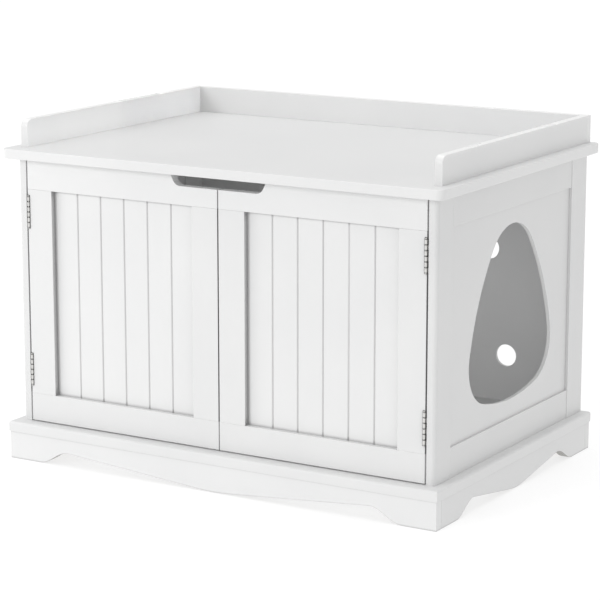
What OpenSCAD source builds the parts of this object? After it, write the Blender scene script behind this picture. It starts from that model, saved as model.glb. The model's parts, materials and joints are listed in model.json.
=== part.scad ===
// Cat litter enclosure: a white two-door cabinet that hides a litter tray. The cat goes in
// through a rounded hole in the right side, and the railed top serves as a bench.
// Millimetres. +X is to the right, -Y is the door side and +Z is up. The origin is on the
// floor, under the centre of the top board.

/* [Top board] */
// Width of the top board
top_w = 750; // [746:1:800]
// Depth of the top board
top_d = 520; // [514:1:560]
// Thickness of the top board
top_t = 15; // [14:0.5:22]
// Radius of the top board's corners, seen from above
top_corner_r = 11; // [3:1:15]
// How far the top board stands out in front of the doors
top_overhang = 20.5; // [10:0.5:25]

/* [Gallery] */
// Height of the rails round the back and sides of the top board
gallery_h = 42; // [38:1:80]
// Thickness of those rails
gallery_t = 12; // [10:0.5:16]
// Distance from the top board's side edge to a side rail
gallery_side_inset = 16; // [12:0.5:18]
// Distance from the top board's front edge to the side rails' ends
gallery_front_inset = 30; // [12:1:60]
// Distance from the top board's rear edge to the back rail
gallery_back_inset = 3; // [1:0.5:8]
// Radius of the side rails' front upper corners
gallery_nose_r = 12; // [2:1:25]

/* [Cabinet] */
// Width of the cabinet over its sides
body_w = 716; // [700:1:720]
// Depth of the cabinet, doors and back panel included
body_d = 488; // [440:1:490]
// Height from the base board to the top board
body_h = 408.5; // [390:0.5:480]
// Thickness of the side frames' posts
side_t = 14; // [14:0.5:18]
// Radius of the posts' outer front corners
post_r = 6; // [1:0.5:8]
// Radius of the front posts' outer rear edges
post_rear_r = 3; // [0.5:0.5:5]
// Depth of the front posts, seen from the side
front_post_w = 48; // [40:1:70]
// Depth of the rear posts, seen from the side
rear_post_w = 52; // [40:1:70]
// How far the side rails lie back from the posts' outer faces
rail_setback = 1; // [0:0.1:1.5]
// Thickness of the side panels and the door panels
panel_t = 6; // [5:0.5:6]
// How far the side panels lie back from the posts' outer faces
side_panel_recess = 4.5; // [3.5:0.5:5]
// Thickness of the back panel
back_t = 5; // [3:0.5:6]
// Diameter of the air holes in the back panel
vent_d = 35; // [20:1:45]

/* [Cat entrance] */
// Height of the entrance's lower corners above the floor
entrance_corner_z = 203.4; // [200:0.2:215]
// Radius of the entrance's lower corners
entrance_corner_r = 62.8; // [55:0.2:66]
// Distance between the centres of the lower corners
entrance_corner_gap = 145.6; // [120:0.2:160]
// Height of the centre of the entrance's crown
entrance_crown_z = 313.7; // [300:0.1:320]
// Radius of the entrance's crown
entrance_crown_r = 81; // [70:0.5:84]

/* [Doors] */
// Thickness of the door frames
door_t = 15; // [15:0.5:18]
// Gap between a door and the hinge side
hinge_gap = 2.5; // [2.5:0.1:3.5]
// Gap between the two doors
centre_gap = 2; // [2:0.1:5]
// Gap above and below a door
door_gap_z = 1.8; // [1.5:0.1:4]
// Width of the door frames' stiles
door_stile_w = 44; // [36:1:60]
// Height of the side frames' upper rails
upper_rail_h = 47; // [44:0.5:60]
// Height of the side frames' lower rails
lower_rail_h = 44.5; // [42:0.5:60]
// Number of planks that the door panels' grooves mark out
plank_count = 6; // [3:1:10]
// Width of a groove
groove_w = 3.6; // [1:0.2:6]
// Width of the finger slot along the doors' upper edge
slot_w = 164; // [100:1:170]
// Depth of the finger slot
slot_h = 17.4; // [15.2:0.1:19]
// Radius of the finger slot's lower corners
slot_r = 14; // [4:1:16]

/* [Base] */
// Width of the base board
base_w = 745; // [726:1:750]
// Depth of the base board
base_d = 514; // [500:1:519]
// Thickness of the base board
base_t = 16; // [14:0.5:20]
// Radius of the base board's moulded upper edge
moulding_r = 3.5; // [2:0.5:10]
// Height of the skirts under the base board
skirt_h = 42.5; // [40:0.5:70]
// Thickness of the skirts
skirt_t = 15; // [12:0.5:18]
// How far the base board stands out over the skirts
skirt_inset = 1.5; // [0.5:0.5:3]
// Height of the arches that separate the feet
arch_h = 21; // [10:0.5:24]

/* [Hinges] */
// Height of a hinge
hinge_h = 48; // [40:1:60]
// Diameter of a hinge's knuckles
knuckle_d = 4.4; // [4:0.1:4.8]
// Distance from a door's end to the middle of a hinge
hinge_inset = 80; // [60:0.5:110]

/* [Hidden] */

LEFT = -1;
RIGHT = 1;
PAINT = [0.95, 0.95, 0.94];
STEEL = [0.72, 0.72, 0.74];
ZINC = [0.62, 0.63, 0.65];
BEECH = [0.84, 0.70, 0.50];
PLASTIC = [0.90, 0.90, 0.88];
MAGNET = [0.22, 0.22, 0.24];

// Smoothness of the true arcs, and the segments in each arc of a drawn outline
$fn = 48;
arc_steps = 12;
// What a cutter runs past the surface that it opens
over = 1;

// Heights: skirts, base board, cabinet, top board, gallery
floor_z = skirt_h + base_t;
roof_z = floor_z + body_h;
top_z = roof_z + top_t;

// The cabinet's outer and inner side faces, and its front and back
body_x = body_w / 2;
side_x = body_x - side_t;
body_y0 = -top_d / 2 + top_overhang;
body_y1 = body_y0 + body_d;
body_cy = (body_y0 + body_y1) / 2;

// The base board, flush with the top board's front edge
base_y0 = -top_d / 2;
base_y1 = base_y0 + base_d;
base_cy = (base_y0 + base_y1) / 2;
skirt_x = base_w / 2 - skirt_inset;

// The opening of a side frame, between its posts and rails
frame_y0 = body_y0 + front_post_w;
frame_y1 = body_y1 - rear_post_w;
frame_z0 = floor_z + lower_rail_h;
frame_z1 = roof_z - upper_rail_h;
rail_x1 = body_x - rail_setback;
rail_cx = (side_x + rail_x1) / 2;
side_panel_x = body_x - side_panel_recess - panel_t;

// A panel's edge lies in a groove or rabbet this deep, with a little room to move
panel_edge = 8;
panel_play = 1;

// Radii of the entrance's bowed sides: the bottom, then the two flanks
entrance_bow_r = [344, 369, 369];

// The right-hand door
door_x0 = centre_gap / 2;
door_x1 = side_x - hinge_gap;
door_z0 = floor_z + door_gap_z;
door_z1 = roof_z - door_gap_z;
door_y1 = body_y0 + door_t;
stile_in_x = door_x0 + door_stile_w;
stile_out_x = door_x1 - door_stile_w;
slot_lean = 0.5;

// Flat-head screws: head and shank diameters, then length
gallery_screw = [7, 3.5, 35];
plinth_screw = [8, 4, 50];
frame_leaf_screw = [5.2, 2.8, 11];
door_leaf_screw = [5.2, 2.8, 16];
catch_screw = [5.5, 3, 22];
strike_screw = [5, 2.6, 12];
// The cross in a screw's head: its length in head diameters, its width and its depth
driver_reach = 0.62;
driver_slot_w = 0.9;
driver_slot_h = 0.8;

// Other fasteners: diameter, then length
pan_head = [7, 1.8];
pan_shank = [3, 16];
pan_slot = [4, 1];
joint_dowel = [6, 24];
body_dowel = [8, 25];
body_dowel_in_rail = 15;
side_dowel_z = [roof_z - 10, roof_z - 30, floor_z + 10, floor_z + 28];
door_dowel_x = [stile_in_x - 33, stile_in_x - 13, stile_out_x + 13, stile_out_x + 33];

// Cam fittings: a cam in a rail's inner face grips a bolt that stands in the next board
cam_d = 15;
cam_depth = 11;
cam_drop = 24;
cam_head_d = 6.5;
cam_head_h = 3;
cam_shank_d = 4.5;
cam_thread = [6, 10];
cam_bore_d = 7;
cam_slot = [10.5, 1.8, 1.5];
cam_y = [body_cy - 150, body_cy + 150];
body_dowel_y = [body_cy - 95, body_cy + 95];

// Gallery screws: across the back, along each side, and at the corners
gallery_x = top_w / 2 - gallery_side_inset;
gallery_y0 = -top_d / 2 + gallery_front_inset;
gallery_y1 = top_d / 2 - gallery_back_inset;
gallery_z1 = top_z + gallery_h;
back_rail_screw_x = [-240, -80, 80, 240];
side_rail_screw_y = [body_cy - 205, body_cy, body_cy + 205];

// Back panel: rabbet in the rear posts, screws and air holes
rabbet_w = 7;
back_screws_per_side = 4;
back_screw_end = 33;
back_screw_pitch = (body_h - 2 * back_screw_end) / (back_screws_per_side - 1);
back_screw_z = [for (i = [0:back_screws_per_side - 1]) floor_z + back_screw_end + i * back_screw_pitch];
vent_low = [229, 133];
vent_high = [196, 303.5];

// Hinges: the pin stands level with the door's face, pin_in from the side frame, in a notch in
// the door's edge. The leaves start leaf_back behind its axis, or leaf_room behind it beside
// the other leaf's knuckles
leaf_t = 1;
leaf_reach = 14;
leaf_back = 0.8;
leaf_room = 3.8;
knuckles = 6;
knuckle_gap = 1.8;
knuckle_clear = 0.3;
pin_d = 2.4;
pin_play = 0.1;
pin_cap = [3.6, 1.2];
pin_in = 3.8;
notch_r = knuckle_d / 2 + knuckle_clear;
notch_end = pin_cap[1] + knuckle_clear;
pin_x = side_x - pin_in;
pin_y = body_y0;
knuckle_pitch = hinge_h / knuckles;
hinge_z = [door_z0 + hinge_inset, door_z1 - hinge_inset];
leaf_screw_y = body_y0 + leaf_reach / 2;
leaf_screw_dz = 15;

// Magnetic catches under the top board, and the plates on the doors that they hold
catch_x = 110;
catch_w = 44;
catch_h = 12;
catch_len = 18;
strike_w = 28;
strike_h = 13;
strike_t = 1.2;
strike_gap = 0.3;
strike_drop = 1;
magnet_w = 24;
magnet_h = 7;
magnet_len = 10;
catch_y0 = door_y1 + strike_t + 2 * strike_gap;
catch_screw_dx = 17;

// Skirt arches: where a foot ends, where its curve meets the slope, and the low middle
foot_rise = 53;
front_foot = 55;
side_foot = 62;
drop_z = 0.8;
drop_round = 15;
block_leg = 38;
block_lift = 2;
block_screw_inset = 11.4;

// ---- Shared shapes ----

// Block between two opposite corners
module block(lo, hi) translate(lo) cube(hi - lo);

// The parts are drawn for the right-hand side; the left-hand ones are their mirror image
module on_side(side) if (side == LEFT) mirror([1, 0, 0]) children(); else children();

// Rectangle with four round corners, centred
module rounded_rect(w, d, r) {
    square([w - 2 * r, d], center = true);
    square([w, d - 2 * r], center = true);
    for (x = [-1, 1], y = [-1, 1]) translate([x * (w / 2 - r), y * (d / 2 - r)]) circle(r);
}

// Rectangle from the origin whose far corner is round
module one_round_corner(w, h, r) {
    square([w - r, h]);
    square([w, h - r]);
    translate([w - r, h - r]) circle(r);
}

// Points of an arc, without its last one
function arc(c, r, a0, a1) =
    [for (i = [0:arc_steps - 1]) let (a = a0 + (a1 - a0) * i / arc_steps) c + r * [cos(a), sin(a)]];

function heading(v) = atan2(v[1], v[0]);
function after(a, b) = b < a ? b + 360 : b;

// Flat-head screw of size s: its head's face lies at z = 0 and it points down
module flat_screw(s) {
    head_h = (s[0] - s[1]) / 2;
    translate([0, 0, -head_h]) cylinder(d1 = s[1], d2 = s[0], h = head_h);
    translate([0, 0, -s[2]]) cylinder(d = s[1], h = s[2] - head_h);
}

// The hole that a flat-head screw fills, open above its head
module screw_hole(s) {
    flat_screw(s);
    cylinder(d = s[0], h = over);
}

// A flat-head screw with a cross recess for the driver
module driven_screw(s) {
    reach = s[0] * driver_reach;
    difference() {
        flat_screw(s);
        for (turn = [0, 90]) rotate(turn)
            translate([-reach / 2, -driver_slot_w / 2, -driver_slot_h])
                cube([reach, driver_slot_w, driver_slot_h + over]);
    }
}

// ---- Fastener places: each puts its children where the group's pieces go ----

module at_gallery_screws() {
    for (x = back_rail_screw_x) translate([x, gallery_y1 - gallery_t / 2, roof_z])
        rotate([180, 0, 0]) children();
    for (side = [-1, 1]) {
        for (y = side_rail_screw_y) translate([side * (gallery_x - gallery_t / 2), y, roof_z])
            rotate([180, 0, 0]) children();
        translate([side * (gallery_x - gallery_t / 2), gallery_y1, top_z + gallery_h / 2])
            rotate([-90, 0, 0]) children();
    }
}

module at_back_screws() {
    for (side = [-1, 1], z = back_screw_z) translate([side * (side_x + rabbet_w / 2), body_y1, z])
        rotate([-90, 0, 0]) children();
}

module at_plinth_screws() {
    inset = skirt_inset + skirt_t + block_screw_inset;
    for (x = [-1, 1], y = [-1, 1])
        translate([x * (base_w / 2 - inset), base_cy + y * (base_d / 2 - inset), block_lift])
            rotate([180, 0, 0]) children();
}

// The joint at a side rail's end: two dowels across each corner of the frame
module at_side_joints(side) on_side(side)
    for (y = [frame_y0, frame_y1], z = side_dowel_z)
        translate([rail_cx, y, z]) rotate([90, 0, 0]) children();

// The joints in a door frame: two dowels up through each corner
module at_door_joints(side) on_side(side)
    for (x = door_dowel_x, z = [frame_z0, frame_z1])
        translate([x, body_y0 + (door_t - panel_t) / 2, z]) children();

// Above and below each side frame; the children point up into the board above
module at_frame_ends(ys) {
    for (side = [LEFT, RIGHT], y = ys) on_side(side) {
        translate([rail_cx, y, roof_z]) children();
        translate([rail_cx, y, floor_z]) mirror([0, 0, 1]) children();
    }
}

module at_frame_leaf_screws(side) on_side(side)
    for (z = hinge_z, dz = [-leaf_screw_dz, leaf_screw_dz])
        translate([side_x - leaf_t, leaf_screw_y, z + dz]) rotate([0, -90, 0]) children();

module at_door_leaf_screws(side) on_side(side)
    for (z = hinge_z, dz = [-leaf_screw_dz, leaf_screw_dz])
        translate([door_x1 + leaf_t, leaf_screw_y, z + dz]) rotate([0, 90, 0]) children();

module at_catch_screws() {
    for (side = [-1, 1], dx = [-catch_screw_dx, catch_screw_dx])
        translate([side * catch_x + dx, catch_y0 + catch_len / 2, roof_z - catch_h])
            rotate([180, 0, 0]) children();
}

module at_strike_screw(side) on_side(side)
    translate([catch_x, door_y1 + strike_t, door_z1 - strike_drop - strike_h / 2])
        rotate([-90, 0, 0]) children();

// ---- Fasteners as they cut the boards ----

module gallery_holes() at_gallery_screws() screw_hole(gallery_screw);

module plinth_holes() at_plinth_screws() screw_hole(plinth_screw);

module frame_leaf_holes(side) at_frame_leaf_screws(side) screw_hole(frame_leaf_screw);

module door_leaf_holes(side) at_door_leaf_screws(side) screw_hole(door_leaf_screw);

module catch_holes() at_catch_screws() screw_hole(catch_screw);

module strike_hole(side) at_strike_screw(side) screw_hole(strike_screw);

module joint_dowel_rod() cylinder(d = joint_dowel[0], h = joint_dowel[1], center = true);

module body_dowel_rod() translate([0, 0, -body_dowel_in_rail]) cylinder(d = body_dowel[0], h = body_dowel[1]);

// The cam's round pocket, and the bore that its bolt comes down
module cam_pocket() {
    translate([side_x - rail_cx - over, 0, -cam_drop]) rotate([0, 90, 0])
        cylinder(d = cam_d, h = cam_depth + over);
    translate([0, 0, -cam_drop]) cylinder(d = cam_bore_d, h = cam_drop + over);
}

module cam_thread_hole() translate([0, 0, -over]) cylinder(d = cam_thread[0], h = cam_thread[1] + over);

// Everything that is let into a side frame's rails
module rail_cuts(side) {
    at_side_joints(side) joint_dowel_rod();
    at_frame_ends(body_dowel_y) body_dowel_rod();
    at_frame_ends(cam_y) cam_pocket();
    on_side(side) side_panel_pocket();
}

// Everything that the top board and the base board take from the cabinet
module board_cuts() {
    at_frame_ends(body_dowel_y) body_dowel_rod();
    at_frame_ends(cam_y) cam_thread_hole();
}

// ---- Top board and gallery ----

module top_board() color(PAINT) difference() {
    translate([0, 0, roof_z]) linear_extrude(top_t) rounded_rect(top_w, top_d, top_corner_r);
    gallery_holes();
    board_cuts();
    catch_holes();
}

module gallery_back_rail() color(PAINT) difference() {
    block([-gallery_x, gallery_y1 - gallery_t, top_z], [gallery_x, gallery_y1, gallery_z1]);
    gallery_holes();
}

module gallery_side_rail(side) color(PAINT) difference() {
    on_side(side) translate([gallery_x - gallery_t, gallery_y1 - gallery_t, top_z])
        rotate([90, 0, 90]) linear_extrude(gallery_t) mirror([1, 0])
            one_round_corner(gallery_y1 - gallery_t - gallery_y0, gallery_h, gallery_nose_r);
    gallery_holes();
}

module gallery_screws() color(STEEL) at_gallery_screws() driven_screw(gallery_screw);

// ---- Side frames ----

// The groove round the inside of a side frame that holds the panel's edges
module side_panel_pocket()
    block([side_panel_x, frame_y0 - panel_edge, frame_z0 - panel_edge],
          [side_panel_x + panel_t, frame_y1 + panel_edge, frame_z1 + panel_edge]);

module front_post(side) color(PAINT) difference() {
    on_side(side) translate([side_x, frame_y0, floor_z]) linear_extrude(body_h)
        intersection() {
            mirror([0, 1]) one_round_corner(side_t, front_post_w, post_r);
            translate([0, -front_post_w]) one_round_corner(side_t, front_post_w, post_rear_r);
        }
    on_side(side) side_panel_pocket();
    at_side_joints(side) joint_dowel_rod();
    frame_leaf_holes(side);
}

module rear_post(side) color(PAINT) difference() {
    on_side(side) block([side_x, frame_y1, floor_z], [body_x, body_y1, roof_z]);
    on_side(side) side_panel_pocket();
    at_side_joints(side) joint_dowel_rod();
    on_side(side) block([side_x - over, body_y1 - back_t, floor_z - over],
                        [side_x + rabbet_w, body_y1 + over, roof_z + over]);
    at_back_screws() pan_screw(over);
}

module side_rail(side, z0, z1) color(PAINT) difference() {
    on_side(side) block([side_x, frame_y0, z0], [rail_x1, frame_y1, z1]);
    rail_cuts(side);
}

module side_panel(side) color(PAINT) difference() {
    on_side(side) block([side_panel_x, frame_y0 - panel_edge + panel_play, frame_z0 - panel_edge],
                        [side_panel_x + panel_t, frame_y1 + panel_edge - panel_play,
                         frame_z1 + panel_edge - panel_play]);
    if (side == RIGHT) translate([side_panel_x - over, 0, 0]) rotate([90, 0, 90])
        linear_extrude(panel_t + 2 * over) polygon(entrance_outline());
}

// Centre of the bow of radius r that circles a and b touch from inside, left of the line a to b
function bow_centre(a, ra, b, rb, r) =
    let (d = norm(b - a), u = (b - a) / d, p = r - ra, q = r - rb, s = (p * p - q * q + d * d) / (2 * d))
    a + s * u + sqrt(p * p - s * s) * [-u[1], u[0]];

// Outline round a ring of circles, joined by bows that swell outwards
function bowed_outline(cs, rs, bows) =
    let (n = len(cs),
         bc = [for (i = [0:n - 1]) bow_centre(cs[i], rs[i], cs[(i + 1) % n], rs[(i + 1) % n], bows[i])])
    [for (i = [0:n - 1])
        let (k = (i + 1) % n,
             a0 = heading(cs[i] - bc[i]),
             a1 = after(a0, heading(cs[k] - bc[i])),
             a2 = after(a1, heading(cs[k] - bc[k])))
        each concat(arc(bc[i], bows[i], a0, a1), arc(cs[k], rs[k], a1, a2))];

// The cat's entrance in depth and height: a triangle with bowed sides and wide round corners
function entrance_outline() =
    bowed_outline([[body_cy - entrance_corner_gap / 2, entrance_corner_z],
                   [body_cy + entrance_corner_gap / 2, entrance_corner_z],
                   [body_cy, entrance_crown_z]],
                  [entrance_corner_r, entrance_corner_r, entrance_crown_r],
                  entrance_bow_r);

module side_dowels(side) color(BEECH) at_side_joints(side) joint_dowel_rod();

// ---- Back panel ----

module pan_screw(extra) {
    cylinder(d = pan_head[0], h = pan_head[1]);
    translate([0, 0, -pan_shank[1]]) cylinder(d = pan_shank[0], h = pan_shank[1] + extra);
}

module back_panel() color(PAINT) difference() {
    block([-side_x - rabbet_w, body_y1 - back_t, floor_z], [side_x + rabbet_w, body_y1, roof_z]);
    for (side = [-1, 1], p = [vent_low, vent_high])
        translate([side * p[0], body_y1 - back_t - over, p[1]]) rotate([-90, 0, 0])
            cylinder(d = vent_d, h = back_t + 2 * over);
    at_back_screws() pan_screw(over);
}

module back_panel_screws() color(STEEL) at_back_screws() difference() {
    pan_screw(0);
    for (turn = [0, 90]) rotate(turn)
        translate([-pan_slot[0] / 2, -driver_slot_w / 2, pan_head[1] - pan_slot[1]])
            cube([pan_slot[0], driver_slot_w, pan_slot[1] + over]);
}

// ---- Base ----

// Section of the base board along one direction: round upper edges
module moulded_section(w) {
    translate([-w / 2, 0]) square([w, base_t - moulding_r]);
    translate([-w / 2 + moulding_r, 0]) square([w - 2 * moulding_r, base_t]);
    for (x = [-1, 1]) translate([x * (w / 2 - moulding_r), base_t - moulding_r]) circle(moulding_r);
}

module base_board() color(PAINT) difference() {
    translate([0, base_cy, skirt_h]) intersection() {
        translate([0, base_d / 2, 0]) rotate([90, 0, 0]) linear_extrude(base_d) moulded_section(base_w);
        translate([-base_w / 2, 0, 0]) rotate([90, 0, 90]) linear_extrude(base_w) moulded_section(base_d);
    }
    board_cuts();
    plinth_holes();
}

// Lower edge of a skirt: a curve up from each foot to a crest, then a long slope down to the
// rounded middle. `slope_z` is the slope's height at distance x from the middle.
function rounded_rise(x) = norm([x, drop_round]) - drop_round;
function slope_z(x, crest) = drop_z + (arch_h - drop_z) * rounded_rise(x) / rounded_rise(crest);
function foot_curve_z(t) = arch_h * (1 - cos(180 * t)) / 2;

// Points of that edge from the right-hand foot to the middle; the crest is at x = crest
function half_edge(crest) = concat(
    [for (i = [0:arc_steps]) let (t = i / arc_steps) [crest + foot_rise * (1 - t), foot_curve_z(t)]],
    [for (i = [1:arc_steps]) let (x = crest * pow(1 - i / arc_steps, 2)) [x, slope_z(x, crest)]]);

// A skirt seen from outside, from -end to end
module skirt_outline(end, crest) {
    right = half_edge(crest);
    left = [for (i = [len(right) - 2:-1:0]) [-right[i][0], right[i][1]]];
    polygon(concat([[end, skirt_h], [end, 0]], right, left, [[-end, 0], [-end, skirt_h]]));
}

// The front and back skirts run the full width, and their end grain shows at the sides
module long_skirt(y) color(PAINT)
    translate([0, y + skirt_t, 0]) rotate([90, 0, 0]) linear_extrude(skirt_t)
        skirt_outline(skirt_x, skirt_x - front_foot - foot_rise);

module side_skirt(side) color(PAINT) {
    outer = base_d / 2 - skirt_inset;
    on_side(side) translate([skirt_x - skirt_t, base_cy, 0]) rotate([90, 0, 90]) linear_extrude(skirt_t)
        skirt_outline(outer - skirt_t, outer - side_foot - foot_rise);
}

// Three-cornered blocks that tie the skirts to the base board
module plinth_corner_blocks() color(BEECH) difference() {
    inset = skirt_inset + skirt_t;
    for (x = [0, 1], y = [0, 1]) translate([0, base_cy, 0]) mirror([x, 0, 0]) mirror([0, y, 0])
        translate([base_w / 2 - inset, base_d / 2 - inset, block_lift]) rotate(180)
            linear_extrude(skirt_h - block_lift) polygon([[0, 0], [block_leg, 0], [0, block_leg]]);
    plinth_holes();
}

module plinth_screws() color(STEEL) at_plinth_screws() driven_screw(plinth_screw);

// ---- Cabinet fittings ----

module cam_locks() color(ZINC) at_frame_ends(cam_y) difference() {
    translate([side_x - rail_cx, 0, -cam_drop]) rotate([0, 90, 0]) cylinder(d = cam_d, h = cam_depth);
    translate([0, 0, -cam_drop - cam_head_h]) cylinder(d = cam_head_d, h = cam_d);
    translate([side_x - rail_cx - over, -cam_slot[0] / 2, -cam_drop - cam_slot[1] / 2])
        cube([over + cam_slot[2], cam_slot[0], cam_slot[1]]);
}

module cam_bolts() color(STEEL) at_frame_ends(cam_y) {
    cylinder(d = cam_thread[0], h = cam_thread[1]);
    translate([0, 0, -cam_drop]) cylinder(d = cam_shank_d, h = cam_drop);
    translate([0, 0, -cam_drop]) cylinder(d = cam_head_d, h = cam_head_h);
}

module body_dowels() color(BEECH) at_frame_ends(body_dowel_y) body_dowel_rod();

// ---- Doors ----

// The rabbet round the back of a door frame that holds the panel's edges
module door_panel_pocket()
    block([stile_in_x - panel_edge, door_y1 - panel_t, frame_z0 - panel_edge],
          [stile_out_x + panel_edge, door_y1 + over, frame_z1 + panel_edge]);

// The finger slot's lower corner: a leaning side runs into the flat bottom through an arc
function slot_corner() =
    let (lean = atan(slot_lean),
         foot_x = slot_w / 2 - slot_lean * slot_h,
         cx = foot_x - slot_r * tan((90 - lean) / 2))
    arc([cx, slot_r], slot_r, -90, -lean);

module slot_section() {
    right = slot_corner();
    top = [slot_w / 2 + slot_lean * over, slot_h + over];
    left = [for (i = [len(right) - 1:-1:0]) [-right[i][0], right[i][1]]];
    polygon(concat(right, [top, [-top[0], top[1]]], left));
}

module finger_slot() translate([0, door_y1 + over, door_z1 - slot_h]) rotate([90, 0, 0])
    linear_extrude(door_t + 2 * over) slot_section();

module door_rail(side, z0, z1) color(PAINT) difference() {
    on_side(side) block([door_x0, body_y0, z0], [door_x1, door_y1, z1]);
    on_side(side) door_panel_pocket();
    at_door_joints(side) joint_dowel_rod();
    strike_hole(side);
    finger_slot();
}

module door_stile(side, x0, x1) color(PAINT) difference() {
    on_side(side) block([x0, body_y0, frame_z0], [x1, door_y1, frame_z1]);
    on_side(side) door_panel_pocket();
    at_door_joints(side) joint_dowel_rod();
    door_leaf_holes(side);
    hinge_notches(side);
}

module door_panel(side) color(PAINT) on_side(side) {
    face_y = door_y1 - panel_t;
    z0 = frame_z0 - panel_edge;
    z1 = frame_z1 + panel_edge - panel_play;
    plank_w = (stile_out_x - stile_in_x) / plank_count;
    flank = groove_w / 2 + over;
    difference() {
        block([stile_in_x - panel_edge + panel_play, face_y, z0],
              [stile_out_x + panel_edge - panel_play, door_y1, z1]);
        for (i = [1:plank_count - 1]) translate([stile_in_x + i * plank_w, face_y, z0 - over])
            linear_extrude(z1 - z0 + 2 * over)
                polygon([[-flank, -over], [flank, -over], [0, groove_w / 2]]);
    }
}

module door_dowels(side) color(BEECH) at_door_joints(side) joint_dowel_rod();

module strike_plate(side) color(ZINC) difference() {
    on_side(side) block([catch_x - strike_w / 2, door_y1, door_z1 - strike_drop - strike_h],
                        [catch_x + strike_w / 2, door_y1 + strike_t, door_z1 - strike_drop]);
    strike_hole(side);
}

module strike_plate_screw(side) color(STEEL) at_strike_screw(side) driven_screw(strike_screw);

// ---- Hinges ----

// Puts its children at the lower end of each hinge's pin
module at_pins(side) on_side(side) for (z = hinge_z) translate([pin_x, pin_y, z - hinge_h / 2]) children();

// Room for the knuckles and the pin's caps in the door's edge
module hinge_notches(side) at_pins(side)
    translate([0, 0, -notch_end]) cylinder(r = notch_r, h = hinge_h + 2 * notch_end);

// Every second knuckle, starting at number `first`, with its web that reaches out to x = `reach`
module knuckle_set(first, reach) for (i = [first:2:knuckles - 1])
    translate([0, 0, i * knuckle_pitch + knuckle_gap / 2]) {
        cylinder(d = knuckle_d, h = knuckle_pitch - knuckle_gap);
        translate([0, leaf_back, 0]) cube([reach, leaf_t, knuckle_pitch - knuckle_gap]);
    }

// Room beside the other leaf's knuckles, starting at number `first`
module knuckle_room(first) for (i = [first:2:knuckles - 1])
    translate([-knuckle_d, 0, i * knuckle_pitch - knuckle_gap / 2])
        cube([2 * knuckle_d, leaf_room, knuckle_pitch + knuckle_gap]);

// One leaf: a plate beside the pin from x0 on, with its own knuckles, from number `own` on,
// and room for the other leaf's
module leaf(x0, own, other, bore_d) difference() {
    union() {
        difference() {
            block([x0, leaf_back, 0], [x0 + leaf_t, leaf_reach, hinge_h]);
            knuckle_room(other);
        }
        knuckle_set(own, x0 + leaf_t);
    }
    translate([0, 0, -over]) cylinder(d = bore_d, h = hinge_h + 2 * over);
}

module hinge_frame_leaves(side) color(STEEL) difference() {
    at_pins(side) leaf(side_x - pin_x - leaf_t, 0, 1, pin_d);
    frame_leaf_holes(side);
}

module hinge_door_leaves(side) color(STEEL) difference() {
    at_pins(side) leaf(door_x1 - pin_x, 1, 0, pin_d + 2 * pin_play);
    door_leaf_holes(side);
}

module hinge_pins(side) color(STEEL) at_pins(side) {
    cylinder(d = pin_d, h = hinge_h);
    for (z = [-pin_cap[1], hinge_h]) translate([0, 0, z]) cylinder(d = pin_cap[0], h = pin_cap[1]);
}

module hinge_frame_screws(side) color(STEEL) at_frame_leaf_screws(side) driven_screw(frame_leaf_screw);

module hinge_door_screws(side) color(STEEL) at_door_leaf_screws(side) driven_screw(door_leaf_screw);

// ---- Magnetic catches ----

module magnet_block(side) translate([side * catch_x - magnet_w / 2, catch_y0 - strike_gap,
                                     roof_z - (catch_h + magnet_h) / 2])
    cube([magnet_w, magnet_len, magnet_h]);

module catch_bodies() color(PLASTIC) difference() {
    for (side = [-1, 1]) translate([side * catch_x - catch_w / 2, catch_y0, roof_z - catch_h])
        cube([catch_w, catch_len, catch_h]);
    for (side = [-1, 1]) magnet_block(side);
    catch_holes();
}

module catch_magnets() color(MAGNET) for (side = [-1, 1]) magnet_block(side);

module catch_screws() color(STEEL) at_catch_screws() driven_screw(catch_screw);

// ---- Nodes ----

top_board();
gallery_back_rail();
gallery_side_rail(LEFT);  // gallery_left_rail
gallery_side_rail(RIGHT);  // gallery_right_rail
gallery_screws();
front_post(LEFT);  // left_front_post
rear_post(LEFT);  // left_rear_post
side_rail(LEFT, frame_z1, roof_z);  // left_upper_rail
side_rail(LEFT, floor_z, frame_z0);  // left_lower_rail
side_panel(LEFT);  // left_side_panel
side_dowels(LEFT);  // left_side_dowels
front_post(RIGHT);  // right_front_post
rear_post(RIGHT);  // right_rear_post
side_rail(RIGHT, frame_z1, roof_z);  // right_upper_rail
side_rail(RIGHT, floor_z, frame_z0);  // right_lower_rail
side_panel(RIGHT);  // right_side_panel
side_dowels(RIGHT);  // right_side_dowels
back_panel();
back_panel_screws();
base_board();
long_skirt(base_y0 + skirt_inset);  // front_skirt
long_skirt(base_y1 - skirt_inset - skirt_t);  // back_skirt
side_skirt(LEFT);  // left_skirt
side_skirt(RIGHT);  // right_skirt
plinth_corner_blocks();
plinth_screws();
cam_locks();
cam_bolts();
body_dowels();
door_rail(LEFT, frame_z1, door_z1);  // left_door_upper_rail
door_rail(LEFT, door_z0, frame_z0);  // left_door_lower_rail
door_stile(LEFT, stile_out_x, door_x1);  // left_door_hinge_stile
door_stile(LEFT, door_x0, stile_in_x);  // left_door_closing_stile
door_panel(LEFT);  // left_door_panel
door_dowels(LEFT);  // left_door_dowels
strike_plate(LEFT);  // left_door_strike_plate
strike_plate_screw(LEFT);  // left_door_strike_screw
door_rail(RIGHT, frame_z1, door_z1);  // right_door_upper_rail
door_rail(RIGHT, door_z0, frame_z0);  // right_door_lower_rail
door_stile(RIGHT, stile_out_x, door_x1);  // right_door_hinge_stile
door_stile(RIGHT, door_x0, stile_in_x);  // right_door_closing_stile
door_panel(RIGHT);  // right_door_panel
door_dowels(RIGHT);  // right_door_dowels
strike_plate(RIGHT);  // right_door_strike_plate
strike_plate_screw(RIGHT);  // right_door_strike_screw
hinge_frame_leaves(LEFT);  // left_hinge_frame_leaves
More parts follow.
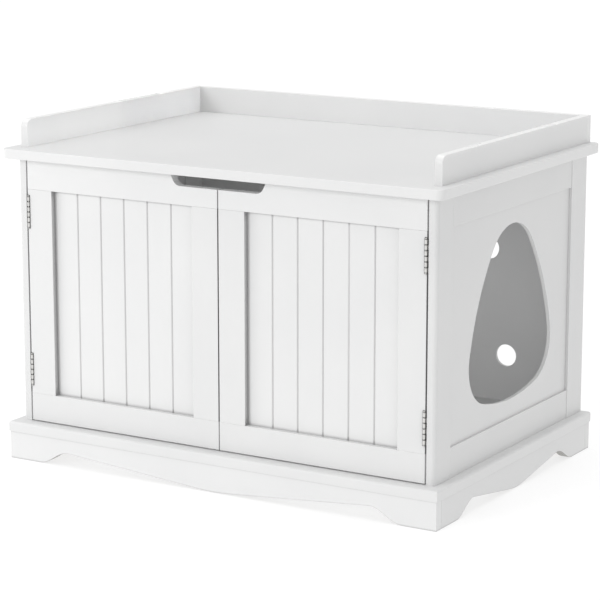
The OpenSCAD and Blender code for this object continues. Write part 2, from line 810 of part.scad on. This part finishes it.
hinge_door_leaves(LEFT);  // left_hinge_door_leaves
hinge_pins(LEFT);  // left_hinge_pins
hinge_frame_screws(LEFT);  // left_hinge_frame_screws
hinge_door_screws(LEFT);  // left_hinge_door_screws
hinge_frame_leaves(RIGHT);  // right_hinge_frame_leaves
hinge_door_leaves(RIGHT);  // right_hinge_door_leaves
hinge_pins(RIGHT);  // right_hinge_pins
hinge_frame_screws(RIGHT);  // right_hinge_frame_screws
hinge_door_screws(RIGHT);  // right_hinge_door_screws
catch_bodies();
catch_magnets();
catch_screws();
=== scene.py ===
import json
from math import cos, radians, sin

import bmesh
import bpy
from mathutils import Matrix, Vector

MM = 0.001

# Camera: a long lens to the right of the doors, half a metre above the top board
CAMERA_AZIMUTH = 30.98
CAMERA_ELEVATION = 12.07
CAMERA_AT = (1.8684, -3.1209, 1.0199)
FRAME_PIXELS = 600
FOCAL_PIXELS = 2418.2
SENSOR_MM = 36
CLIP_END = 100

# Light strengths, how wide the two suns look, in degrees, and where they stand: degrees right of
# the doors' axis, and above the floor
SKY = 0.75
KEY = 0.68
KEY_AZIMUTH = -22
KEY_ELEVATION = 20
KEY_SPREAD = 15
TOP_LIGHT = 0.76
TOP_AZIMUTH = 0
TOP_ELEVATION = 89
TOP_SPREAD = 30
# The floor's width in metres, how many squares its mesh has a side, and how strongly it glows
FLOOR_SIZE = 40
FLOOR_SQUARES = 4
FLOOR_GLOW = 0.68
# A soft box near the left door makes that side of the doors the brighter one
BOX_WATTS = 1.6
BOX_AT = (-1.0, -0.72, 0.53)
BOX_SIZE = (0.35, 0.35)
BOX_TURN = (75, 0, -60)
# A strip lamp on the right skims over the right rail to the inner face of the left one
STRIP_WATTS = 0.06
STRIP_AT = (0.9, 0.0, 0.6)
STRIP_SIZE = (0.9, 0.04)
STRIP_TURN = (85.4, 0, 90)
STRIP_SPREAD = 5
# A dim fill inside, behind the doors and shining at the back, keeps the entrance a mid grey
FILL_WATTS = 0.345
FILL_AT = (0.15, -0.18, 0.2)
FILL_SIZE = (0.34, 0.2)
FILL_TURN = (90, 0, 0)

# How far the edges of each kind of piece are rounded off, in millimetres, and in how many steps
EASE_STEPS = 3
EASED_FROM_DEGREES = 35
FLAT_WITHIN_DEGREES = 0.6
WELD_MM = 0.02
EASE_MM = {
    "screw": 0, "dowel": 0, "leaves": 0.15, "strike_plate": 0.2, "top_board": 1.5, "gallery": 0.5,
    "post": 0.5, "door_panel": 0.35, "side_panel": 0.5, "door": 0.45, "rail": 0.45, "back_panel": 0.35,
    "base_board": 0.5, "skirt": 0.7, "corner_blocks": 0.4, "catch_bodies": 0.6, "cam_locks": 0.25,
}

# The paint on each kind of painted piece: its lightness beside the others, which is painted light and
# shade that evens out how each kind is lit, its grey in tight places, which is painted shade where it is
# darker than the paint and painted light where it is lighter, how far it looks for walls, in millimetres,
# how open a place is, from 0 to 1, where the grey is full and where it ends, how strongly the top faces
# get a painted highlight, and how strongly the undersides get a painted shade. The last line is for
# every other piece
PAINTS = {
    "door_panel": (1.03, 0.46, 7, 0.5, 0.85, 0.0, 0.0),
    "_stile": (1.0, 0.32, 15, 0.6, 0.97, 0.0, 0.0),
    "door_upper_rail": (1.03, 0.60, 5, 0.3, 0.7, 0.0, 0.0),
    "door_lower_rail": (1.0, 0.80, 6, 0.2, 0.6, 0.0, 0.0),
    "gallery_back": (1.05, 0.80, 6, 0.3, 0.8, 1.0, 0.0),
    "gallery": (1.0, 0.80, 6, 0.3, 0.8, 1.0, 0.0),
    "top_board": (1.02, 0.78, 6, 0.3, 0.8, 0.0, 0.0),
    "base_board": (1.0, 0.76, 6, 0.3, 0.8, 0.0, 0.0),
    "front_skirt": (1.035, 0.42, 4, 0.45, 0.9, 0.0, 1.0),
    "skirt": (1.0, 0.42, 4, 0.45, 0.9, 0.0, 1.0),
    "side_panel": (0.965, 0.68, 24, 0.7, 1.0, 0.0, 0.0),
    "er_rail": (0.96, 0.74, 5, 0.3, 0.7, 0.0, 0.0),
    "post": (0.965, 0.74, 5, 0.3, 0.7, 0.0, 0.0),
    "": (1.0, 0.60, 5, 0.3, 0.7, 0.0, 0.0),
}

# The two tones that cloud the paint, the tone of its painted highlight on edges and top faces, the
# tone of its specks, the tone of the painted shade on undersides, and its index of refraction
PAINT_COOL = (0.705, 0.707, 0.708)
PAINT_WARM = (0.735, 0.736, 0.734)
PAINT_HIGHLIGHT = (0.88, 0.88, 0.875)
PAINT_SPECK = (0.63, 0.625, 0.61)
PAINT_UNDERSIDE_SHADE = (0.34, 0.335, 0.32)
PAINT_IOR = 1.48


# ---- Node helpers ----

SOCKETS = {"color": "Base Color", "ior": "IOR", "specular": "Specular IOR Level"}


class Tree:
    """A material's nodes, with short ways to add and join them."""

    def __init__(self, name):
        self.material = bpy.data.materials.new(name)
        self.material.use_nodes = True
        self.nodes = self.material.node_tree.nodes
        self.links = self.material.node_tree.links
        self.bsdf = self.nodes["Principled BSDF"]
        self.place = self.add("ShaderNodeTexCoord").outputs["Object"]

    def add(self, kind, **settings):
        node = self.nodes.new(kind)
        for key, value in settings.items():
            setattr(node, key, value)
        return node

    def put(self, value, socket):
        """Joins a socket, or sets a plain value."""
        if isinstance(value, bpy.types.NodeSocket):
            self.links.new(value, socket)
        else:
            socket.default_value = value

    def set(self, **values):
        for name, value in values.items():
            self.put(value, self.bsdf.inputs[SOCKETS.get(name, name.title())])

    def stretched(self, scale):
        node = self.add("ShaderNodeMapping")
        self.put(self.place, node.inputs["Vector"])
        node.inputs["Scale"].default_value = scale
        return node.outputs["Vector"]

    def noise(self, grain_mm, detail=3.0, rough=0.5, where=None):
        """Noise whose lumps are about grain_mm across."""
        node = self.add("ShaderNodeTexNoise")
        self.put(where or self.place, node.inputs["Vector"])
        node.inputs["Scale"].default_value = 1 / (grain_mm * MM)
        node.inputs["Detail"].default_value = detail
        node.inputs["Roughness"].default_value = rough
        return node.outputs["Fac"]

    def cells(self, grain_mm, output="Color"):
        node = self.add("ShaderNodeTexVoronoi")
        self.put(self.place, node.inputs["Vector"])
        node.inputs["Scale"].default_value = 1 / (grain_mm * MM)
        return node.outputs[output]

    def spread(self, value, lo, hi, start=0.3, end=0.7):
        """Maps value from start..end to lo..hi."""
        node = self.add("ShaderNodeMapRange")
        numbers = {"Value": value, "From Min": start, "From Max": end, "To Min": lo, "To Max": hi}
        for name, number in numbers.items():
            self.put(number, node.inputs[name])
        return node.outputs["Result"]

    def math(self, operation, a, b=0.0):
        node = self.add("ShaderNodeMath", operation=operation)
        self.put(a, node.inputs[0])
        self.put(b, node.inputs[1])
        return node.outputs[0]

    def mix(self, factor, a, b):
        node = self.add("ShaderNodeMix", data_type="RGBA")
        self.put(factor, node.inputs[0])
        self.put(colour(a), node.inputs[6])
        self.put(colour(b), node.inputs[7])
        return node.outputs[2]

    def edges(self, radius_mm, start=0.004, end=0.09):
        """About 1 on an edge and 0 on a flat face."""
        round_normal = self.add("ShaderNodeBevel", samples=4)
        round_normal.inputs["Radius"].default_value = radius_mm * MM
        face = self.add("ShaderNodeNewGeometry")
        dot = self.add("ShaderNodeVectorMath", operation="DOT_PRODUCT")
        self.put(round_normal.outputs["Normal"], dot.inputs[0])
        self.put(face.outputs["Normal"], dot.inputs[1])
        return self.spread(self.math("SUBTRACT", 1.0, dot.outputs["Value"]), 0.0, 1.0, start, end)

    def facing(self, start, end):
        """0 to 1 as a face's normal rises from start to end, or sinks if end is the lower one."""
        face = self.add("ShaderNodeNewGeometry")
        split = self.add("ShaderNodeSeparateXYZ")
        self.put(face.outputs["Normal"], split.inputs[0])
        return self.spread(split.outputs["Z"], 0.0, 1.0, start, end)

    def crevices(self, reach_mm, start, end):
        """About 1 deep in a groove or joint and 0 in the open."""
        shelter = self.add("ShaderNodeAmbientOcclusion", samples=8)
        shelter.inputs["Distance"].default_value = reach_mm * MM
        return self.spread(shelter.outputs["AO"], 1.0, 0.0, start, end)

    def bump(self, height, depth_mm, under=None):
        node = self.add("ShaderNodeBump")
        node.inputs["Distance"].default_value = depth_mm * MM
        self.put(height, node.inputs["Height"])
        if under:
            self.put(under, node.inputs["Normal"])
        return node.outputs["Normal"]


def scaled(factor, rgb):
    return tuple(factor * part for part in rgb)


def colour(value):
    return (*value, 1.0) if isinstance(value, tuple) and len(value) == 3 else value


# ---- Materials ----

def satin_paint(kind):
    """Sprayed satin paint: faint clouds, fine orange peel, long waves of the board, specks, a painted
    highlight on edges and top faces, painted shade in tight places, lighter on some kinds as painted
    light, and a painted shade on undersides."""
    white, grey, reach_mm, full, none, top_highlight, underside_shade = PAINTS[kind]
    t = Tree("satin_paint_" + kind)
    clouds = t.noise(170, 4)
    peel = t.noise(1.3, 2)
    # Painted light and shade: each kind's paint is whitened or greyed by its tone to even out how that
    # kind is lit.
    cool, warm = scaled(white, PAINT_COOL), scaled(white, PAINT_WARM)
    film = t.mix(t.spread(clouds, 0, 1), cool, warm)
    patches = t.spread(t.noise(9, 5, 0.65), 0.6, 1.0, 0.35, 0.65)
    # Painted highlight: edges are lightened in patches, as if catching the light; the same mask also
    # lowers the roughness.
    rubbed_and_highlit = t.math("MULTIPLY", t.edges(1.0), patches)
    # Painted highlight: on some kinds the top faces are lightened too.
    if top_highlight:
        rubbed_and_highlit = t.math("MAXIMUM", rubbed_and_highlit, t.math("MULTIPLY", t.facing(0.5, 0.9), top_highlight))
    bright = t.mix(rubbed_and_highlit, film, PAINT_HIGHLIGHT)
    specks = t.spread(t.noise(0.7, 2, 0.6), 0.0, 0.35, 0.70, 0.86)
    speckled = t.mix(specks, bright, PAINT_SPECK)
    # Painted shade: tight places are mixed to the kind's grey, darker than the paint on most kinds; where
    # that grey is lighter than the paint it is painted light.
    crevice_light_and_shade = t.mix(t.crevices(reach_mm, full, none), speckled, (grey, grey, grey))
    # Painted shade: on the skirts the undersides are darkened.
    if underside_shade:
        crevice_light_and_shade = t.mix(t.math("MULTIPLY", t.facing(-0.1, -0.5), underside_shade), crevice_light_and_shade, PAINT_UNDERSIDE_SHADE)
    t.set(color=crevice_light_and_shade, ior=PAINT_IOR)
    t.set(roughness=t.math("SUBTRACT", t.spread(clouds, 0.35, 0.43), t.math("MULTIPLY", rubbed_and_highlit, 0.1)))
    waves = t.bump(t.noise(60, 2), 0.10)
    t.set(normal=t.bump(peel, 0.012, waves))
    return t.material


def plated_steel():
    """Nickel plate: fine rolling lines, clouded gloss and dull spots, brighter on its worn edges
    and darker where parts meet, a painted shade that also makes those gaps rougher."""
    t = Tree("nickel_plate")
    lines = t.noise(0.5, 3, 0.6, t.stretched((1, 1, 0.04)))
    clouds = t.noise(5, 4)
    film = t.mix(t.spread(clouds, 0, 1), (0.64, 0.635, 0.62), (0.74, 0.73, 0.715))
    plate = t.mix(t.math("MULTIPLY", t.edges(0.4), 0.6), film, (0.86, 0.855, 0.84))
    # Painted shade: gaps where parts meet are darkened, and also made rougher.
    grime_and_gap_shade = t.crevices(6, 0.5, 0.92)
    t.set(color=t.mix(grime_and_gap_shade, plate, (0.14, 0.135, 0.13)), metallic=1.0)
    gloss = t.math("ADD", t.spread(clouds, 0.24, 0.40), t.spread(lines, -0.04, 0.06))
    t.set(roughness=t.math("ADD", gloss, t.math("MULTIPLY", grime_and_gap_shade, 0.25)))
    t.set(normal=t.bump(lines, 0.012))
    return t.material


def zinc_plate():
    """Dull zinc: grey-blue crystals a few millimetres across under a cloudy bloom."""
    t = Tree("zinc_plate")
    crystals = t.cells(2.5)
    bloom = t.noise(6, 5, 0.6)
    film = t.mix(t.spread(crystals, 0, 1, 0.2, 0.8), (0.46, 0.47, 0.50), (0.60, 0.61, 0.63))
    dull = t.mix(t.spread(bloom, 0, 0.5), film, (0.52, 0.53, 0.54))
    t.set(color=t.mix(t.math("MULTIPLY", t.edges(0.4), 0.5), dull, (0.72, 0.72, 0.73)), metallic=1.0)
    t.set(roughness=t.spread(bloom, 0.38, 0.58), normal=t.bump(t.noise(0.4, 2), 0.01))
    return t.material


def bare_beech():
    """Unfinished beech: growth bands, short dark flecks along the grain, furry edges."""
    t = Tree("bare_beech")
    along = t.stretched((1, 0.12, 0.12))
    bands = t.noise(2.2, 4, 0.55, along)
    flecks = t.spread(t.noise(0.55, 2, 0.5, along), 0, 1, 0.62, 0.72)
    wood = t.mix(t.spread(bands, 0, 1), (0.60, 0.42, 0.25), (0.74, 0.56, 0.37))
    flecked = t.mix(t.math("MULTIPLY", flecks, 0.55), wood, (0.40, 0.25, 0.14))
    t.set(color=t.mix(t.math("MULTIPLY", t.edges(0.6), 0.35), flecked, (0.80, 0.66, 0.48)))
    t.set(roughness=t.spread(bands, 0.62, 0.78), normal=t.bump(bands, 0.05))
    return t.material


def moulded_plastic():
    """White moulded plastic: spark-eroded grain, slight flow marks, shinier worn edges."""
    t = Tree("moulded_white_plastic")
    grain = t.noise(0.35, 2)
    flow = t.noise(12, 4)
    skin = t.mix(t.spread(flow, 0, 1), (0.70, 0.70, 0.68), (0.75, 0.75, 0.735))
    worn = t.math("MULTIPLY", t.edges(0.7), 0.3)
    t.set(color=t.mix(worn, skin, (0.64, 0.63, 0.60)))
    t.set(roughness=t.math("SUBTRACT", t.spread(flow, 0.50, 0.60), worn), normal=t.bump(grain, 0.03))
    return t.material


def dark_ferrite():
    """Sintered magnet: nearly black, with a sandy face and pale chipped edges."""
    t = Tree("dark_ferrite")
    sand = t.noise(0.3, 4, 0.7)
    body = t.mix(t.spread(sand, 0, 1), (0.035, 0.035, 0.04), (0.075, 0.075, 0.08))
    chips = t.math("MULTIPLY", t.edges(0.5), t.spread(t.noise(1.5, 3), 0, 0.8))
    t.set(color=t.mix(chips, body, (0.20, 0.20, 0.21)), metallic=0.3)
    t.set(roughness=t.spread(sand, 0.45, 0.65), normal=t.bump(sand, 0.03))
    return t.material


def studio_floor():
    """A pale translucent sweep, lit from below so that shadows on it stay faint."""
    t = Tree("pale_floor")
    clouds = t.noise(900, 3)
    t.set(color=t.mix(t.spread(clouds, 0, 1), (0.345, 0.345, 0.345), (0.355, 0.355, 0.355)), specular=0.1)
    t.set(roughness=t.spread(clouds, 0.86, 0.94), normal=t.bump(t.noise(2.5, 2), 0.02))
    t.bsdf.inputs["Emission Color"].default_value = (1, 1, 1, 1)
    t.bsdf.inputs["Emission Strength"].default_value = FLOOR_GLOW
    return t.material


# What the material slots other than the white paint are made of
FINISHES = {
    "bright_steel": plated_steel, "zinc_plate": zinc_plate, "bare_beech": bare_beech,
    "white_plastic": moulded_plastic, "dark_magnet": dark_ferrite,
}


# ---- Pieces ----

def kind_of(name, kinds):
    """The first of the kinds that a node's name holds."""
    return next((kind for kind in kinds if kind in name), None)


def round_edges(piece, ease_mm):
    """Joins the imported faces, clears the lines across flat faces, then rounds the edges."""
    weld = piece.modifiers.new("weld", "WELD")
    weld.merge_threshold = WELD_MM * MM
    flat = piece.modifiers.new("flat", "DECIMATE")
    flat.decimate_type = "DISSOLVE"
    flat.angle_limit = radians(FLAT_WITHIN_DEGREES)
    ease = piece.modifiers.new("ease", "BEVEL")
    ease.width = ease_mm * MM
    ease.segments = EASE_STEPS
    ease.limit_method = "ANGLE"
    ease.angle_limit = radians(EASED_FROM_DEGREES)
    ease.use_clamp_overlap = False
    ease.loop_slide = False
    ease.harden_normals = True
    ease.miter_outer = "MITER_ARC"


def finish_nodes():
    """Gives every CAD node its material and its eased edges."""
    slots = {part["node"]: part["material_slot"] for part in frame["record"]["subparts"]}
    paints = {kind: satin_paint(kind) for kind in PAINTS}
    finishes = {slot: make() for slot, make in FINISHES.items()}
    for name, piece in frame["nodes"].items():
        finish = finishes.get(slots[name]) or paints[kind_of(name, PAINTS)]
        for slot in piece.material_slots:
            slot.material = finish
        ease_mm = EASE_MM.get(kind_of(name, EASE_MM), 0)
        if ease_mm:
            round_edges(piece, ease_mm)


# ---- Floor, lights and camera ----

def link(thing):
    bpy.context.scene.collection.objects.link(thing)
    return thing


def add_floor():
    mesh = bpy.data.meshes.new("studio_floor")
    grid = bmesh.new()
    bmesh.ops.create_grid(grid, x_segments=FLOOR_SQUARES, y_segments=FLOOR_SQUARES, size=FLOOR_SIZE / 2)
    grid.to_mesh(mesh)
    grid.free()
    floor = link(bpy.data.objects.new("studio_floor", mesh))
    mesh.materials.append(studio_floor())


def away(azimuth, elevation):
    """Unit vector towards a place so many degrees right of the doors' axis and above the floor."""
    a, e = radians(azimuth), radians(elevation)
    return Vector((sin(a) * cos(e), -cos(a) * cos(e), sin(e)))


def add_sun(name, azimuth, elevation, strength, spread):
    lamp = bpy.data.lights.new(name, "SUN")
    lamp.energy = strength
    lamp.angle = radians(spread)
    sun = link(bpy.data.objects.new(name, lamp))
    sun.rotation_euler = away(azimuth, elevation).to_track_quat("Z", "Y").to_euler()


def add_panel_light(name, watts, place, size, turn, spread=180):
    """A rectangular lamp that shows neither in the picture nor in reflections."""
    lamp = bpy.data.lights.new(name, "AREA")
    lamp.energy = watts
    lamp.shape = "RECTANGLE"
    lamp.size, lamp.size_y = size
    lamp.spread = radians(spread)
    light = link(bpy.data.objects.new(name, lamp))
    light.location = place
    light.rotation_euler = [radians(angle) for angle in turn]
    light.visible_camera = False
    light.visible_glossy = False


def add_sky():
    world = bpy.data.worlds.new("white_studio")
    world.use_nodes = True
    background = world.node_tree.nodes["Background"]
    background.inputs["Color"].default_value = (1, 1, 1, 1)
    background.inputs["Strength"].default_value = SKY
    bpy.context.scene.world = world


def add_camera():
    lens = bpy.data.cameras.new("camera")
    lens.sensor_width = SENSOR_MM
    lens.lens = FOCAL_PIXELS / FRAME_PIXELS * SENSOR_MM
    lens.clip_end = CLIP_END
    camera = link(bpy.data.objects.new("camera", lens))
    camera.location = CAMERA_AT
    camera.rotation_euler = (radians(90 - CAMERA_ELEVATION), 0, radians(CAMERA_AZIMUTH))
    bpy.context.scene.camera = camera


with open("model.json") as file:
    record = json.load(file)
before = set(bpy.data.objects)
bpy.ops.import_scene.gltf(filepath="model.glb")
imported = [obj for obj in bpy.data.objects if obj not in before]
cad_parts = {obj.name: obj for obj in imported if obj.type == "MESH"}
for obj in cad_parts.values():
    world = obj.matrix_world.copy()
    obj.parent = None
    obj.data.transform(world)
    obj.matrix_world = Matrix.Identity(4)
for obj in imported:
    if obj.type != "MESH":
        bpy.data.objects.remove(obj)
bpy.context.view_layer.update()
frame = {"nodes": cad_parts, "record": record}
finish_nodes()
add_floor()
add_sky()
add_sun("key", KEY_AZIMUTH, KEY_ELEVATION, KEY, KEY_SPREAD)
add_sun("overhead", TOP_AZIMUTH, TOP_ELEVATION, TOP_LIGHT, TOP_SPREAD)
add_panel_light("soft_box", BOX_WATTS, BOX_AT, BOX_SIZE, BOX_TURN)
add_panel_light("strip", STRIP_WATTS, STRIP_AT, STRIP_SIZE, STRIP_TURN, STRIP_SPREAD)
add_panel_light("inside_fill", FILL_WATTS, FILL_AT, FILL_SIZE, FILL_TURN)
add_camera()
bpy.context.scene.view_settings.view_transform = "Standard"
